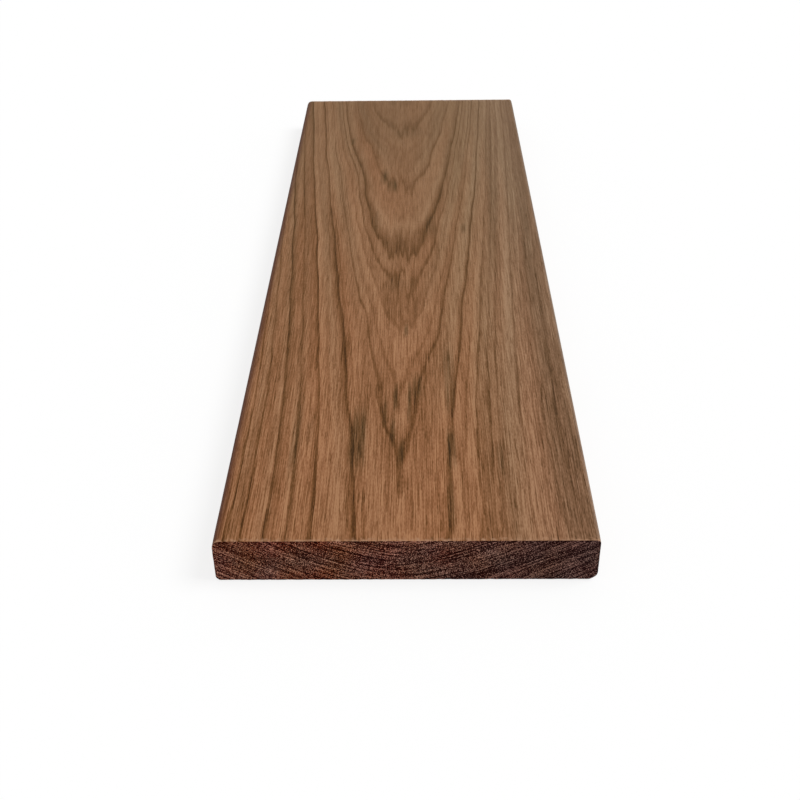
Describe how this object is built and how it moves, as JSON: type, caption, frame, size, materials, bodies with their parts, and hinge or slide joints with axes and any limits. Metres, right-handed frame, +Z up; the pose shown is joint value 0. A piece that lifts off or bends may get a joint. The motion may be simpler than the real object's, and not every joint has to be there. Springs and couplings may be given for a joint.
{
  "type": "hardwood board",
  "caption": "Flat-sawn dark hardwood board, planed smooth, with eased long arrises and square sawn ends; cathedral figure on its wide face.",
  "frame": {"origin": "centre of the underside, halfway along the board and midway across it", "axes": "+X across the width to the right, +Y along the grain away from the viewer, +Z up out of the figured face"},
  "size_m": [0.14, 0.45, 0.019],
  "materials": {
    "oiled_hardwood": "planed and oiled to a low satin on the faces and edges, bare saw-cut end grain"
  },
  "bodies": {
    "root": {"board": "oiled_hardwood"}
  },
  "joints": []
}
